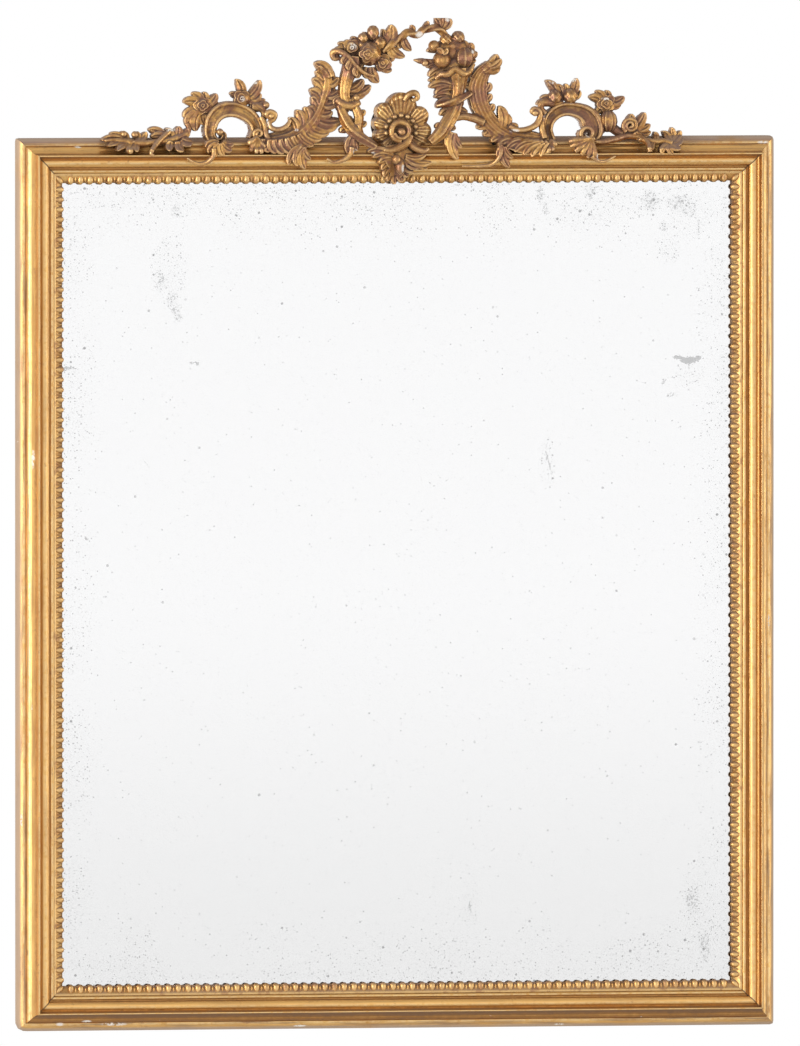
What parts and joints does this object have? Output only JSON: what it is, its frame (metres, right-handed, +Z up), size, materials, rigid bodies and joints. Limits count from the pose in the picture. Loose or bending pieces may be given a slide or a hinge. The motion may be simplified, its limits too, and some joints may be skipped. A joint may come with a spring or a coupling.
{
  "type": "wall mirror",
  "caption": "Rectangular giltwood wall mirror with a moulded and beaded frame, an openwork carved crest of shell, horns and acanthus, and a hanging ring.",
  "frame": {"origin": "centre of the frame's back, on the wall plane", "axes": "+Z up, +X to the right seen from the front, +Y out of the back towards the wall"},
  "size_m": [0.87, 0.0647, 1.1331],
  "materials": {
    "gilding": "worn water gilding on gesso",
    "carving": "worn and toned gilding on carved wood",
    "old_wood": "bare old softwood",
    "iron": "dark forged iron",
    "plate": "polished",
    "silvering": "aged tin and mercury silvering"
  },
  "bodies": {
    "frame": {"top_rail": "gilding", "bottom_rail": "gilding", "left_stile": "gilding", "right_stile": "gilding", "top_bead_slip": "gilding", "bottom_bead_slip": "gilding", "left_bead_slip": "gilding", "right_bead_slip": "gilding", "left_wing": "carving", "right_wing": "carving", "crest_shell": "carving", "shell_boss": "carving", "shell_pendant": "carving", "left_cornucopia": "carving", "right_cornucopia": "carving", "rose_bouquet": "carving", "fruit_cluster": "carving", "garland": "carving", "left_spray": "carving", "right_spray": "carving", "left_outer_flower": "carving", "left_inner_flower": "carving", "right_outer_flower": "carving", "right_inner_flower": "carving", "left_tendril": "carving", "left_hook_leaf": "carving", "right_tendril": "carving", "right_hook_leaf": "carving", "corner_keys": "old_wood", "left_brace": "old_wood", "right_brace": "old_wood", "glazing_blocks": "old_wood", "lower_backboard": "old_wood", "middle_backboard": "old_wood", "upper_backboard": "old_wood", "hanger_plate": "iron", "hanger_screws": "iron", "brace_screws": "iron", "backboard_nails": "iron", "mirror_plate": "plate", "silvering": "silvering"},
    "ring": {"hanging_ring": "iron"}
  },
  "joints": [
    {"name": "ring_swing", "type": "hinge", "parent": "frame", "child": "ring", "pos_m": [0, 0.0075, 0.4902], "axis": [-1, 0, 0], "range_deg": [0, 184]}
  ]
}
